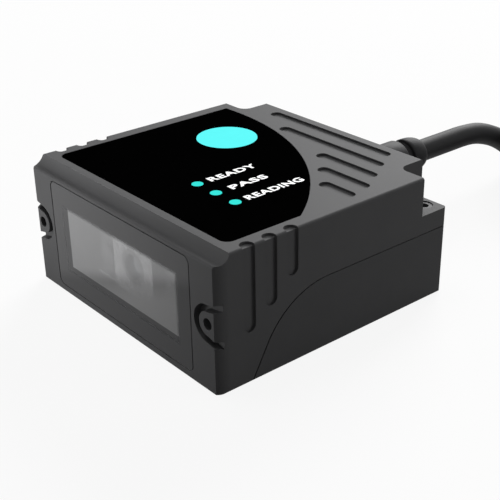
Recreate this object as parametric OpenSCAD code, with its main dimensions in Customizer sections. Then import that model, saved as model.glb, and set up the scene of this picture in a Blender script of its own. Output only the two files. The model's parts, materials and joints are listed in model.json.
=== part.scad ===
// Fixed barcode reader: a two-piece moulded housing with a scan engine behind a window
// in its nose, lit marks in a film on its top, and a cable out of its rear.
// Millimetres. X runs to the right, Y to the rear and Z up.
// The origin is at the bottom centre of the housing, without the cable.

/* [Housing] */
// Width across the sides
body_w = 64.2; // [62:0.2:72]
// Depth from the window face to the rear face
body_d = 61.2; // [60:0.2:72]
// Height from the underside to the top
body_h = 28.6; // [28:0.2:34]
// Thickness of the side and rear walls
wall = 2; // [1.6:0.1:2.2]
// Thickness of the roof
roof = 2.4; // [2:0.1:2.8]
// Thickness of the floor
floor_t = 2; // [1.6:0.1:2.4]
// Thickness of the front wall
nose_wall = 3.2; // [3:0.1:4]
// Radius of the front vertical corners
nose_r = 4; // [3:0.2:6]
// How much narrower the window face is, on each side
nose_inset = 1.05; // [0.5:0.05:1.5]
// Radius of the rear vertical corners
rear_r = 0.8; // [0.4:0.1:1.4]
// Radius of the edges along the sides and the rear
edge_r = 0.6; // [0.3:0.1:1]
// Depth of the scoop over the window, along the top
scoop_d = 3.2; // [2.6:0.1:3.6]
// Drop of the scoop's lower lip from the top
scoop_h = 1.9; // [1.5:0.1:2.2]
// Radius of the scoop
scoop_r = 2.6; // [2.4:0.1:4]
// Radius of the scoop's lower lip
lip_r = 0.5; // [0.2:0.1:0.7]

/* [Parting line] */
// Height of the level run, which is also the height of the cable
part_z = 16; // [15:0.1:17]
// Distance from the window face to where the line leaves the underside
part_foot = 7.8; // [6.6:0.2:9]
// Angle at which it leaves the underside
part_angle = 61; // [56:1:65]
// Radius of its turn to level
part_r = 17.5; // [15:0.5:19]
// Width of the open seam
seam_w = 0.2; // [0.15:0.05:0.4]
// Depth of the open seam
seam_d = 0.3; // [0.2:0.05:0.6]

/* [Rear ledges] */
// Width of each ledge
ledge_w = 7.2; // [6.6:0.1:8]
// Depth of each ledge
ledge_d = 7.6; // [7:0.1:8.4]
// Drop of each ledge from the top
ledge_drop = 8.5; // [7:0.1:9]
// Radius of the inner corner over each ledge
ledge_r = 2.4; // [1:0.1:3]
// Distance of each ledge screw from the side and from the rear
ledge_screw = [3.9, 2.8];

/* [Window] */
// Width of the window plate
window_w = 48.2; // [44:0.2:48.4]
// Height of the window plate
window_h = 24.2; // [20:0.1:24.6]
// Height of the window plate over the underside
window_z = 1.5; // [1.3:0.1:2]
// Thickness of the window plate: the pane and the mask on its back
window_t = 1.6; // [1.4:0.1:1.7]
// Corner radius of the window plate
window_r = 1.4; // [1:0.1:3]
// Gap round the window plate
window_gap = 0.2; // [0.1:0.05:0.25]
// Width of the opening in the mask
view_w = 39.2; // [34:0.2:40]
// Height of the opening in the mask
view_h = 14; // [10:0.2:15]
// Thickness of the clear pane
pane_t = 0.9; // [0.7:0.1:1]
// How far the gasket's edge stands back from the opening
gasket_lap = 0.6; // [0.4:0.1:1]
// Thickness of the window gasket
gasket_t = 0.4; // [0.3:0.05:0.5]

/* [Front bosses] */
// Distance of each boss from the side
boss_in = 2.9; // [2.8:0.1:3.2]
// Radius of each boss
boss_r = 2.5; // [2.2:0.1:2.7]
// Width of the groove round each boss
moat_w = 1.5; // [1:0.1:1.6]
// Depth of that groove
moat_d = 1.6; // [1:0.1:2]
// How much the groove spreads where it runs out at the side
moat_flare = 0.9; // [0:0.1:1.2]
// Radius of the hole in each boss
boss_hole_r = 1.2; // [0.8:0.05:1.4]
// Depth of the hole in each boss
boss_hole_d = 8; // [6:0.5:10]

/* [Grip grooves] */
// Width of a groove
groove_w = 2.8; // [2:0.1:3.2]
// Depth of a groove
groove_d = 0.55; // [0.4:0.05:0.8]
// Spacing of the grooves
groove_pitch = 5.2; // [4.6:0.1:5.6]
// Distance from the rear face to the first top groove
top_groove_in = 3.85; // [3.4:0.05:4.6]
// Left and right ends of the top grooves, from the rear forwards
top_groove_ends = [[-18.7, 18.8], [-9.7, 21.8], [8, 24.9], [13.9, 27.8], [19.8, 29]];
// Distance from the window face to the first side groove
side_groove_in = 7.55; // [6.5:0.05:9]
// Heights of the lower ends of the side grooves, from the front backwards
side_groove_feet = [11, 14.7, 19.1];
// How far a side groove runs in over the top
side_groove_hook = 2; // [1.5:0.1:2.6]

/* [Film and lit marks] */
// Margin between the film and the sides
film_side = 3.4; // [3:0.1:4.4]
// Margin between the film and the window face
film_front = 5.1; // [4.6:0.1:6]
// Radius of the film's rear edge
film_r = 63.3; // [62:0.1:64]
// Centre of that radius, from the film's left edge and from the window face
film_centre = [4.5, -11.9];
// Corner radius at the front of the film
film_corner = 2; // [1:0.1:4]
// Thickness of the film
film_t = 0.25; // [0.2:0.05:0.4]
// Radius of the lit disc
disc_r = 6.8; // [6:0.1:7.4]
// Centre of the lit disc, from the film's left edge and from the window face
disc_at = [15.5, 39];
// Radius of a lit dot
dot_r = 1.2; // [1:0.1:1.6]
// First lit dot, from the film's left edge and from the window face
dot_at = [32.4, 17.87];
// Spacing of the lit dots
dot_pitch = 6; // [5:0.1:6.4]
// Number of lit dots
dots = 3; // [1:1:3]

/* [Scan engine] */
// Width of the engine
engine_w = 13.8; // [12.6:0.2:15]
// Height of the engine
engine_h = 13.2; // [12:0.2:14]
// Depth of the engine
engine_d = 12; // [11:0.5:14]
// Height of the lens axis
engine_z = 13.2; // [12.8:0.1:14]
// Distance between the front wall and the engine
engine_gap = 0.4; // [0.2:0.1:0.8]
// Radius of the lens barrel
barrel_r = 3.8; // [3.4:0.1:4.4]
// Length of the lens barrel
barrel_l = 9; // [7:0.5:10]
// Radius of the lens
lens_r = 2.7; // [2:0.1:2.9]
// Thickness of the engine's cradle
cradle_t = 1.6; // [1.2:0.1:2]

/* [Boards] */
// Width of the main board
board_w = 48; // [46:0.5:49]
// Depth of the main board
board_d = 31; // [30.4:0.2:32]
// Thickness of the main board
board_t = 1.6; // [1:0.1:1.8]
// Height of the main board's underside
board_z = 8; // [7.6:0.1:8.2]
// Distance between the roof and the indicator board
indicator_drop = 2.8; // [2.6:0.1:3.2]
// Thickness of the indicator board
indicator_t = 1.2; // [0.8:0.1:1.4]

/* [Cable] */
// Diameter of the cable
cable_dia = 5.5; // [4.5:0.1:6]
// Largest radius of the strain relief
relief_r = 4.9; // [4.6:0.1:5.4]
// Length of the strain relief outside the housing
relief_l = 27.4; // [24:0.2:30]

/* [Fits] */
// Gap between moulded pieces that slide together
fit = 0.1; // [0.05:0.05:0.15]

/* [Hidden] */
$fn = 48;

eps = 0.01;
far = 200;
front_y = -body_d / 2;
rear_y = body_d / 2;
side_x = body_w / 2;
roof_z = body_h - roof;
ledge_z = body_h - ledge_drop;
mid_z = body_h / 2;
cable_z = part_z;
// How far behind the window face the centres of the front corners lie
nose_c = sqrt(pow(nose_r, 2) - pow(nose_r - nose_inset, 2));

// Outline of the housing from above, or of the same outline drawn in on every side
module plan(inset = 0) {
    r = nose_r - inset;
    corner = max(rear_r - inset, 0.1);
    half = side_x - inset;
    back = rear_y - inset;
    centre_y = front_y + nose_c;
    intersection() {
        union() {
            translate([-half, centre_y])
                square([2 * half, back - corner - centre_y]);
            translate([-half + corner, centre_y])
                square([2 * (half - corner), back - centre_y]);
            translate([-half + r, front_y - nose_r])
                square([2 * (half - r), nose_r + nose_c + 1]);
            for (s = [-1, 1]) {
                translate([s * (half - r), centre_y])
                    circle(r);
                translate([s * (half - corner), back - corner])
                    circle(corner);
            }
        }
        translate([-far / 2, front_y + inset])
            square(far);
    }
}

// A rectangle with round corners, centred on X and standing on Y = 0
module round_rect(w, h, r) {
    translate([-w / 2 + r, 0])
        square([w - 2 * r, h]);
    translate([-w / 2, r])
        square([w, h - 2 * r]);
    for (x = [-w / 2 + r, w / 2 - r], y = [r, h - r])
        translate([x, y])
            circle(r);
}

// The closed outer form of the housing, with its long edges rounded
module block() {
    ahead = 2;
    intersection() {
        linear_extrude(body_h)
            plan();
        wall_of(front_y - ahead, rear_y + 1)
            round_rect(body_w, body_h, edge_r);
        translate([-far / 2, -ahead / 2, 0])
            rotate([90, 0, 90])
                linear_extrude(far)
                    round_rect(body_d + ahead, body_h, edge_r);
    }
}

// A slot with round ends, from one X to another
module slot(from, to, w) {
    translate([from + w / 2, -w / 2])
        square([to - from - w, w]);
    for (x = [from + w / 2, to - w / 2])
        translate([x, 0])
            circle(w / 2);
}

// Stands an outline drawn in X and Z up, and gives it depth along Y from one place to another
module wall_of(from, to) {
    translate([0, to, 0])
        rotate([90, 0, 0])
            linear_extrude(to - from)
                children();
}

// A round bar along Y
module bar(r, from, to) {
    translate([0, to, 0])
        rotate([90, 0, 0])
            cylinder(r = r, h = to - from);
}

// The parting line, from the underside backwards: a ramp, a turn and a level run
ramp_h = part_z - part_r * (1 - cos(part_angle));
turn_y = part_foot + ramp_h / tan(part_angle) + part_r * sin(part_angle);
turn_steps = 16;
below = 2;
parting_line = [
    [part_foot - below / tan(part_angle), -below],
    for (i = [0:turn_steps])
        let (a = part_angle * (1 - i / turn_steps))
            [turn_y - part_r * sin(a), part_z - part_r * (1 - cos(a))],
];

// All that lies under the parting line
module under_parting() {
    outline = concat(parting_line, [[body_d + far, part_z], [body_d + far, -below]]);
    translate([-far / 2, front_y, 0])
        rotate([90, 0, 90])
            linear_extrude(far)
                polygon(outline);
}

module both_sides() {
    children();
    mirror([1, 0, 0])
        children();
}

module hollow() {
    translate([-side_x + wall, front_y + nose_wall, floor_t])
        cube([body_w - 2 * wall, body_d - nose_wall - wall, body_h - roof - floor_t]);
}

// Outline of the open corner over the right ledge
module ledge_corner(grow = 0) {
    x = side_x - ledge_w - grow;
    y = rear_y - ledge_d - grow;
    translate([x + ledge_r, y])
        square(far);
    translate([x, y + ledge_r])
        square(far);
    translate([x + ledge_r, y + ledge_r])
        circle(ledge_r);
}

screw_x = side_x - ledge_screw[0];
screw_y = rear_y - ledge_screw[1];
boss_x = side_x - boss_in;

// Centre of the scoop's round, from the window face and from the top
scoop_chord = norm([scoop_d, scoop_h]);
scoop_rise = sqrt(pow(scoop_r, 2) - pow(scoop_chord / 2, 2));
scoop_c = [scoop_d, -scoop_h] / 2 + scoop_rise * [-scoop_h, scoop_d] / scoop_chord;

// Centre of the lip's round, which touches the window face and the scoop
lip_c = [lip_r, scoop_c[1] - sqrt(pow(scoop_r + lip_r, 2) - pow(lip_r - scoop_c[0], 2))];

// Carries an outline drawn from the nose's top edge, backwards and up, across the whole width
module across_nose() {
    translate([-far / 2, front_y, body_h])
        rotate([90, 0, 90])
            linear_extrude(far)
                children();
}

// Scoop over the window, and the round of its lower lip
module scoop() {
    steps = 6;
    toward = scoop_c - lip_c;
    turn = 180 - atan2(toward[1], toward[0]);
    lip_line = [
        for (i = [0:steps])
            let (a = 180 - turn * i / steps)
                lip_c + lip_r * [cos(a), sin(a)],
    ];
    across_nose()
        translate(scoop_c)
            circle(scoop_r);
    across_nose()
        polygon(concat([[-1, lip_c[1]]], lip_line, [scoop_c, [-1, scoop_c[1]]]));
}

// Groove that runs round a front boss and out at the side
module moat_outline(r, spread) {
    reach = boss_in + 1;
    circle(r);
    polygon([[0, -r], [reach, -r - spread], [reach, r + spread], [0, r]]);
}

module front_boss_cut() {
    translate([boss_x, 0, mid_z])
        wall_of(front_y - 1, front_y + moat_d)
            difference() {
                moat_outline(boss_r + moat_w, moat_flare);
                moat_outline(boss_r, moat_flare);
            }
    translate([boss_x, 0, mid_z])
        bar(boss_hole_r, front_y - 1, front_y + boss_hole_d);
}

boss_post_r = boss_in - 0.1;
boss_post_end = front_y + boss_hole_d + 1.5;

module front_boss_post() {
    translate([boss_x, 0, mid_z])
        bar(boss_post_r, front_y + nose_wall - eps, boss_post_end);
    translate([boss_x, front_y + nose_wall - eps, mid_z - boss_post_r])
        cube([boss_in - wall / 2, boss_post_end - front_y - nose_wall, 2 * boss_post_r]);
}

module top_groove(i) {
    ends = top_groove_ends[i];
    translate([0, rear_y - top_groove_in - i * groove_pitch, body_h - groove_d])
        linear_extrude(1)
            slot(ends[0], ends[1], groove_w);
}

// Groove down the right side, hooked over the edge of the top
module side_groove(i) {
    y = front_y + side_groove_in + i * groove_pitch;
    translate([side_x - groove_d, y, 0])
        rotate([90, 0, 90])
            linear_extrude(1)
                rotate(90)
                    slot(side_groove_feet[i], body_h + groove_w, groove_w);
    translate([0, y, body_h - groove_d])
        linear_extrude(1)
            slot(side_x - side_groove_hook, side_x + groove_w, groove_w);
}

film_left = film_side - side_x;

// Outline of the film, or the same outline grown on every side
module film_outline(grow = 0) {
    half = grow - film_left;
    y = front_y + film_front - grow;
    r = film_corner;
    intersection() {
        union() {
            translate([-half + r, y])
                square([2 * (half - r), far]);
            translate([-half, y + r])
                square([2 * half, far]);
            for (s = [-1, 1])
                translate([s * (half - r), y + r])
                    circle(r);
        }
        translate([film_left + film_centre[0], front_y + film_centre[1]])
            circle(film_r + grow, $fn = 160);
    }
}

function dot_place(i) = [film_left + dot_at[0] + i * dot_pitch, front_y + dot_at[1]];

disc_place = [film_left + disc_at[0], front_y + disc_at[1]];

// The lit marks, drawn in the top, with a gap round each
module marks(gap) {
    translate(disc_place)
        circle(disc_r + gap);
    for (i = [0:dots - 1])
        translate(dot_place(i))
            circle(dot_r + gap);
}

film_sink = 0.05;
film_top = body_h - film_sink;
film_bed = film_top - film_t;

// Window: pane, mask, gasket and the pocket that takes them
view_z = window_z + (window_h - view_h) / 2;
view_r = 0.4;
bond_t = 0.05;
pocket_d = window_t + gasket_t;
shelf_lap = 2.6;

module window_pocket() {
    translate([0, 0, window_z - window_gap])
        wall_of(front_y - 1, front_y + pocket_d)
            round_rect(window_w + 2 * window_gap, window_h + 2 * window_gap, window_r + window_gap);
    translate([0, 0, window_z + shelf_lap])
        wall_of(front_y, front_y + nose_wall + 1)
            round_rect(window_w - 2 * shelf_lap, window_h - 2 * shelf_lap, window_r);
}

// Ledge screws
screw_r = 1;
screw_head_r = 1.85;
screw_head_h = 1.8;
screw_l = 9;
screw_sink = 2;
screw_seat = ledge_z - screw_sink;

// Stepped hole for the right ledge screw, through the ledge and into the post under it
module ledge_screw_bore(r) {
    spare = 0.5;
    translate([screw_x, screw_y, screw_seat])
        cylinder(r = screw_head_r + fit, h = body_h);
    translate([screw_x, screw_y, screw_seat - screw_l - spare])
        cylinder(r = r, h = body_h);
}

// Indicator board and what hangs it under the roof
indicator_top = roof_z - indicator_drop;
indicator_edge = 3;
indicator_low = [disc_place[0] - disc_r, dot_place(0)[1] - dot_r] - indicator_edge * [1, 1];
indicator_high = [dot_place(dots - 1)[0] + dot_r, disc_place[1] + disc_r] + indicator_edge * [1, 1];
indicator_boss_in = 3.2;
indicator_bosses = [
    indicator_low + indicator_boss_in * [1, 1],
    [indicator_high[0] - indicator_boss_in, disc_place[1] - indicator_boss_in],
    [dot_place(0)[0], indicator_high[1] - indicator_boss_in],
];
indicator_boss_r = 2;
small_screw_r = 0.9;
small_head_r = 1.6;
small_head_h = 1.2;
small_screw_l = 3.2;
small_bore = small_screw_r + fit / 2;

module indicator_boss(at) {
    translate([at[0], at[1], indicator_top])
        difference() {
            cylinder(r = indicator_boss_r, h = indicator_drop + eps);
            translate([0, 0, -eps])
                cylinder(r = small_bore, h = indicator_drop - 0.4);
        }
}

// Strain relief, seated in a hole that the two halves of the housing share
relief_neck_r = 4.2;
relief_flange_r = 5.4;
relief_flange_t = 1.5;
flange_y = rear_y - wall - relief_flange_t;

module cable_hole() {
    translate([0, 0, cable_z])
        bar(relief_neck_r + fit / 2, rear_y - wall - 1, rear_y + 1);
}

module top_cover() {
    color("#3a3a3b")
        difference() {
            union() {
                difference() {
                    block();
                    under_parting();
                    difference() {
                        hollow();
                        both_sides()
                            translate([0, 0, part_z - 1])
                                linear_extrude(body_h)
                                    ledge_corner(wall);
                    }
                }
                both_sides()
                    front_boss_post();
                for (at = indicator_bosses)
                    indicator_boss(at);
            }
            scoop();
            both_sides() {
                translate([0, 0, ledge_z])
                    linear_extrude(body_h)
                        ledge_corner();
                ledge_screw_bore(screw_r + fit);
                front_boss_cut();
                for (i = [0:len(side_groove_feet) - 1])
                    side_groove(i);
            }
            for (i = [0:len(top_groove_ends) - 1])
                top_groove(i);
            translate([0, 0, film_bed])
                linear_extrude(1)
                    film_outline(fit);
            translate([0, 0, roof_z - 1])
                linear_extrude(roof + 2)
                    marks(fit);
            window_pocket();
            cable_hole();
        }
}

// Posts that rise from the floor
board_rear = rear_y - wall - 1.4;
board_post_in = [3, 4];
board_posts = [
    for (s = [-1, 1], y = [board_rear - board_d + board_post_in[0], board_rear - board_post_in[1]])
        [s * (board_w / 2 - board_post_in[0]), y],
];
board_post_r = 2.6;
cradle_z = engine_z - engine_h / 2 - cradle_t;
engine_y = front_y + nose_wall + engine_gap;
cradle_post_x = 10.5;
cradle_tail = 4;
cradle_post_y = engine_y + engine_d + cradle_tail;
insert_r = 2.2;
insert_l = 5;
insert_bore_r = 1.25;
insert_at = [16, 10];
corner_post_r = 3.6;

// A post on the floor, with a blind hole from its top
module post(r, top, hole_r, hole_d) {
    translate([0, 0, floor_t - eps])
        difference() {
            cylinder(r = r, h = top - floor_t + eps);
            translate([0, 0, top - floor_t - hole_d])
                cylinder(r = hole_r, h = hole_d + 1);
        }
}

// Rib inside the right wall that keys the base into the cover
lip_t = 1.1;
lip_h = 1.6;
lip_root = 4;

module key_rib() {
    from = front_y + turn_y + 2;
    to = rear_y - ledge_d - wall - 2;
    x = side_x - wall - lip_t - fit;
    translate([x, from, part_z - lip_root])
        cube([lip_t, to - from, lip_root + lip_h]);
    translate([x, from, part_z - lip_root])
        cube([lip_t + wall / 2, to - from, lip_root - 1]);
}

// Tongue that holds the base's front edge down over the cover's sill
tongue_x = 13;
tongue_w = 8;
tongue_t = 1.5;
tongue_reach = 3;
tongue_root = 4;

module front_tongue() {
    edge = front_y + part_foot + floor_t / tan(part_angle);
    translate([tongue_x - tongue_w / 2, edge - tongue_reach, floor_t + fit / 2])
        cube([tongue_w, tongue_reach + tongue_root, tongue_t]);
    translate([tongue_x - tongue_w / 2, edge + fit, floor_t / 2])
        cube([tongue_w, tongue_root - fit, floor_t / 2 + tongue_t]);
}

// The open seam: the base's outer edge stands back along the parting line
module seam() {
    difference() {
        under_parting();
        translate([0, seam_w, -seam_w])
            under_parting();
        translate([0, 0, -below])
            linear_extrude(body_h)
                plan(seam_d);
    }
}

module base() {
    color("#343435")
        difference() {
            union() {
                difference() {
                    intersection() {
                        block();
                        under_parting();
                    }
                    hollow();
                    seam();
                }
                for (at = board_posts)
                    translate(at)
                        post(board_post_r, board_z, small_bore, small_screw_l);
                both_sides() {
                    intersection() {
                        translate([screw_x, screw_y, floor_t - eps])
                            cylinder(r = corner_post_r, h = part_z - floor_t + eps);
                        linear_extrude(body_h)
                            plan(wall / 2);
                    }
                    translate([cradle_post_x, cradle_post_y, 0])
                        post(board_post_r, cradle_z, small_bore, small_screw_l);
                    translate([insert_at[0], insert_at[1], 0])
                        cylinder(r = insert_r + 1.4, h = insert_l + 1.4);
                    key_rib();
                    front_tongue();
                }
            }
            both_sides() {
                translate([insert_at[0], insert_at[1], -1])
                    cylinder(r = insert_r, h = insert_l + 1);
                ledge_screw_bore(screw_r + fit / 2);
            }
            cable_hole();
        }
}

// The pane lies flush in the nose, and the mask behind it borders the view
module window_pane() {
    color("#8a8d90", 0.5)
        translate([0, 0, window_z])
            wall_of(front_y, front_y + pane_t)
                round_rect(window_w, window_h, window_r);
}

module window_frame() {
    color("#454546")
        difference() {
            translate([0, 0, window_z])
                wall_of(front_y + pane_t + bond_t, front_y + window_t)
                    round_rect(window_w, window_h, window_r);
            translate([0, 0, view_z])
                wall_of(front_y, front_y + nose_wall)
                    round_rect(view_w, view_h, view_r);
        }
}

module window_gasket() {
    color("#1c1c1c")
        difference() {
            translate([0, 0, window_z])
                wall_of(front_y + window_t, front_y + pocket_d)
                    round_rect(window_w, window_h, window_r);
            translate([0, 0, view_z - gasket_lap])
                wall_of(front_y, front_y + nose_wall)
                    round_rect(view_w + 2 * gasket_lap, view_h + 2 * gasket_lap, view_r + gasket_lap);
        }
}

module overlay_film() {
    color("#060606")
        translate([0, 0, film_bed])
            linear_extrude(film_t)
                difference() {
                    film_outline();
                    marks(fit / 2);
                }
}

guide_t = 1;
guide_rim = 1.5;

module disc_diffuser() {
    color("#58f5f5") {
        translate([disc_place[0], disc_place[1], roof_z - guide_t])
            cylinder(r = disc_r + guide_rim, h = guide_t);
        translate([disc_place[0], disc_place[1], roof_z - eps])
            cylinder(r = disc_r, h = film_top - roof_z + eps);
    }
}

module light_guide() {
    first = dot_place(0);
    run = dot_pitch * (dots - 1);
    color("#4ce0d4") {
        translate([first[0], first[1], roof_z - guide_t])
            linear_extrude(guide_t)
                slot(-dot_r - guide_rim, run + dot_r + guide_rim, 2 * (dot_r + guide_rim));
        for (i = [0:dots - 1])
            translate([dot_place(i)[0], dot_place(i)[1], roof_z - eps])
                cylinder(r = dot_r, h = film_top - roof_z + eps);
    }
}

// Hexagon in a screw's head: its corner radius and its floor, as parts of the head's radius and height
hex_part = 0.62;
hex_floor = 0.4;

// A screw that points down, with its head's seat at Z = 0 and a hexagon socket
module screw(r, l, head_r, head_h) {
    translate([0, 0, -l])
        cylinder(r = r, h = l + eps);
    difference() {
        cylinder(r = head_r, h = head_h);
        translate([0, 0, head_h * hex_floor])
            cylinder(r = head_r * hex_part, h = head_h, $fn = 6);
    }
}

module cover_screws() {
    color("#2b2b2c")
        both_sides()
            translate([screw_x, screw_y, screw_seat])
                screw(screw_r, screw_l, screw_head_r, screw_head_h);
}

module base_inserts() {
    color("#b8964a")
        both_sides()
            translate([insert_at[0], insert_at[1], 0])
                difference() {
                    cylinder(r = insert_r, h = insert_l);
                    translate([0, 0, -1])
                        cylinder(r = insert_bore_r, h = insert_l + 2);
                }
}

engine_half = engine_w / 2;
engine_low = engine_z - engine_h / 2;
lens_sink = 0.8;
lens_t = 2.2;

module engine_chassis() {
    color("#6a6a6c")
        difference() {
            translate([0, 0, engine_low])
                wall_of(engine_y, engine_y + engine_d)
                    round_rect(engine_w, engine_h, 0.8);
            translate([0, 0, engine_z])
                bar(barrel_r + fit / 2, engine_y - 1, engine_y + barrel_l);
            translate([0, 0, engine_z])
                bar(lens_r - 0.7, engine_y, engine_y + engine_d + 1);
        }
}

module lens_barrel() {
    color("#2a2a2c")
        translate([0, 0, engine_z])
            difference() {
                bar(barrel_r, engine_y, engine_y + barrel_l);
                bar(lens_r + fit / 2, engine_y - 1, engine_y + lens_sink + lens_t);
                bar(lens_r - 0.7, engine_y, engine_y + engine_d);
            }
}

// A lens with a domed front, on the step inside the barrel
module lens_element() {
    dome_r = 3 * lens_r;
    front = engine_y + lens_sink;
    color("#9fb4c0", 0.6)
        intersection() {
            translate([0, 0, engine_z])
                bar(lens_r, front - 1, front + lens_t);
            translate([0, front + dome_r, engine_z])
                sphere(dome_r);
        }
}

sensor_t = 1;
sensor_in = 0.4;

module sensor_board() {
    color("#1f5a38")
        translate([0, 0, engine_low])
            wall_of(engine_y + engine_d, engine_y + engine_d + sensor_t)
                translate([0, sensor_in])
                    round_rect(engine_w - 2 * sensor_in, engine_h - 2 * sensor_in, 0.5);
}

lamp_w = 6.6;
lamp_h = 9;
lamp_d = 5;
lamp_lens_r = 2.4;
lamp_lens_out = 0.8;
cheek_t = 1.2;
cheek_h = 4.4;
lamp_x = engine_half + fit + cheek_t + fit + lamp_w / 2;
lamp_y = engine_y + 2;

module illuminators() {
    color("#3c3c40")
        both_sides()
            translate([lamp_x, 0, engine_low]) {
                wall_of(lamp_y, lamp_y + lamp_d)
                    round_rect(lamp_w, lamp_h, 0.6);
                translate([0, 0, lamp_h / 2])
                    bar(lamp_lens_r, lamp_y - lamp_lens_out, lamp_y + eps);
            }
}

// Cradle: a plate on two posts, with a cheek on each side of the engine
module engine_bracket() {
    half = lamp_x + lamp_w / 2 + 0.5;
    from = engine_y + 1;
    color("#505054")
        difference() {
            union() {
                translate([-half, from, cradle_z])
                    cube([2 * half, cradle_post_y + 2.5 - from, cradle_t]);
                both_sides()
                    translate([engine_half + fit, from + 1, cradle_z])
                        cube([cheek_t, engine_d - 4, cradle_t + cheek_h]);
            }
            both_sides()
                translate([cradle_post_x, cradle_post_y, cradle_z - 1])
                    cylinder(r = small_bore, h = cradle_t + 2);
        }
}

module small_screw() {
    screw(small_screw_r, small_screw_l, small_head_r, small_head_h);
}

module bracket_screws() {
    color("#c8c8cc")
        both_sides()
            translate([cradle_post_x, cradle_post_y, cradle_z + cradle_t])
                small_screw();
}

board_top = board_z + board_t;
board_front = board_rear - board_d;
socket_w = 12;
socket_d = 4;
socket_h = 2;
socket_y = board_front + 2.2;

// Ribbon that falls in a smooth bend from the engine to its socket on the main board
module engine_flex() {
    flex_w = 10;
    flex_t = 0.2;
    steps = 12;
    from = engine_y + engine_d + sensor_t;
    to = socket_y + socket_d / 2;
    high = engine_z + 1;
    low = board_top + socket_h;
    line = [
        for (i = [0:steps])
            let (s = i / steps, t = min(1, 1.4 * s))
                [from + s * (to - from), low + (high - low) * (1 + cos(180 * t)) / 2],
    ];
    upper = [for (i = [steps:-1:0]) line[i] + [0, flex_t]];
    color("#a8702c")
        translate([-flex_w / 2, 0, 0])
            rotate([90, 0, 90])
                linear_extrude(flex_w)
                    polygon(concat(line, upper));
}

module main_board() {
    color("#1f5a38")
        difference() {
            translate([0, board_front, board_z])
                linear_extrude(board_t)
                    round_rect(board_w, board_d, 1);
            for (at = board_posts)
                translate([at[0], at[1], board_z - 1])
                    cylinder(r = small_bore, h = board_t + 2);
        }
}

module board_screws() {
    color("#c8c8cc")
        for (at = board_posts)
            translate([at[0], at[1], board_top])
                small_screw();
}

can_size = [18, 14, 2.4];
can_at = [-9, 12.8];

module shield_can() {
    color("#b4b6b8")
        translate([can_at[0], board_front + can_at[1], board_top]) {
            linear_extrude(can_size[2])
                translate([0, -can_size[1] / 2])
                    round_rect(can_size[0], can_size[1], 0.8);
        }
}

chip_size = [9, 9, 1];
chip_at = [12, 10.4];

module memory_chip() {
    color("#1a1a1a")
        translate([chip_at[0], board_front + chip_at[1], board_top + chip_size[2] / 2])
            cube(chip_size, center = true);
}

buzzer_r = 4.5;
buzzer_h = 4.2;
buzzer_at = [14, 20.8];

module buzzer() {
    color("#151515")
        translate([buzzer_at[0], board_front + buzzer_at[1], board_top])
            difference() {
                cylinder(r = buzzer_r, h = buzzer_h);
                translate([0, 0, buzzer_h - 1])
                    cylinder(r = 1, h = 2);
            }
}

module flex_socket() {
    color("#d8d4c4")
        translate([-socket_w / 2, socket_y - socket_d / 2, board_top])
            cube([socket_w, socket_d, socket_h]);
}

wire_r = 0.55;
wire_gap = 1.6;
wire_bend = 3;
wire_rise = 1.6;
wire_count = 4;
socket_wall = 1.2;
wire_x = [for (i = [0:wire_count - 1]) (i - (wire_count - 1) / 2) * wire_gap];
cable_socket_y = flange_y - wire_bend;
cable_socket_z = cable_z + wire_rise - wire_bend;

module cable_socket() {
    w = wire_count * wire_gap + 2 * socket_wall;
    d = 2 * (wire_r + socket_wall);
    color("#d8d4c4")
        translate([-w / 2, cable_socket_y - d / 2, board_top])
            cube([w, d, cable_socket_z - board_top]);
}

// Each wire leaves the boot level and turns down into the socket
module wires() {
    wire_colours = ["#b03030", "#e0e0e0", "#2f8f4f", "#202020"];
    for (i = [0:wire_count - 1])
        color(wire_colours[i])
            translate([wire_x[i], flange_y, cable_socket_z])
                rotate([90, 0, -90])
                    rotate_extrude(angle = 90)
                        translate([wire_bend, 0])
                            circle(wire_r, $fn = 24);
}

module indicator_board() {
    size = indicator_high - indicator_low;
    color("#1f5a38")
        difference() {
            translate([indicator_low[0] + size[0] / 2, indicator_low[1], indicator_top - indicator_t])
                linear_extrude(indicator_t)
                    round_rect(size[0], size[1], 1);
            for (at = indicator_bosses)
                translate([at[0], at[1], indicator_top - indicator_t - 1])
                    cylinder(r = small_bore, h = indicator_t + 2);
        }
}

lamp_chip = [1.6, 1.6, 0.8];
disc_lamp_out = 2.5;

module indicator_lamps() {
    places = concat(
        [for (i = [0:dots - 1]) dot_place(i)],
        [for (s = [-1, 1]) disc_place + [s * disc_lamp_out, 0]]
    );
    color("#f4f0d8")
        for (at = places)
            translate([at[0], at[1], indicator_top + lamp_chip[2] / 2])
                cube(lamp_chip, center = true);
}

module indicator_screws() {
    color("#c8c8cc")
        for (at = indicator_bosses)
            translate([at[0], at[1], indicator_top - indicator_t])
                rotate([180, 0, 0])
                    small_screw();
}

ribbon_w = 8;
ribbon_t = 0.3;
ribbon_at = [indicator_high[0] - 5, board_front + 3.8];

// Ribbon between the two boards
module indicator_ribbon() {
    color("#a8702c")
        translate([ribbon_at[0] - ribbon_w / 2, ribbon_at[1], board_top])
            cube([ribbon_w, ribbon_t, indicator_top - indicator_t - board_top]);
}

// Boot: flange inside the wall, neck in the wall, two ribbed lengths and a rounded collar
relief_groove_r = 3.6;
relief_ring_r = relief_r - 0.15;
relief_collar_r = relief_r - 0.5;
relief_collar_l = 5.5;
relief_groove_l = 2.2;
cable_r = cable_dia / 2;

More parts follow.
